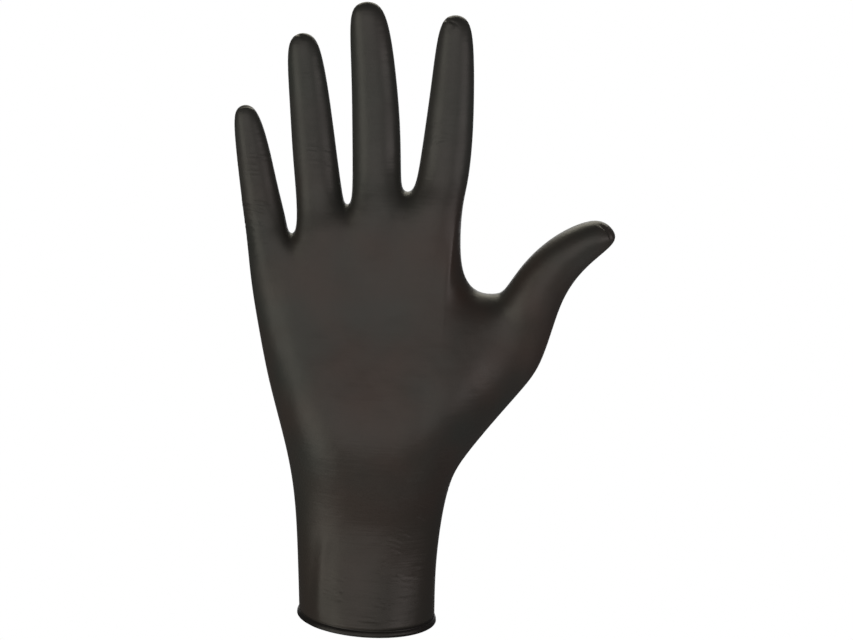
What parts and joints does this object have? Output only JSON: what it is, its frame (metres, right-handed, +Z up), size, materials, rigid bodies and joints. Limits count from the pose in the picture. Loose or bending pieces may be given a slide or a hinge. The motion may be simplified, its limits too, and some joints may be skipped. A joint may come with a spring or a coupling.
{
  "type": "nitrile exam glove",
  "caption": "Thin dipped nitrile exam glove in its worn form, fingers up and spread, palm and back, thumb out to one side, straight cuff with a rolled bead.",
  "frame": {"origin": "centre of the cuff opening, on the plane of the hem's lower edge", "axes": "+Z up the forearm to the fingers, +X to the thumb's side, -Y to the palm side"},
  "size_m": [0.1471, 0.0584, 0.2426],
  "materials": {
    "nitrile": "satin, slightly textured"
  },
  "bodies": {
    "root": {"glove_film": "nitrile"}
  },
  "joints": []
}
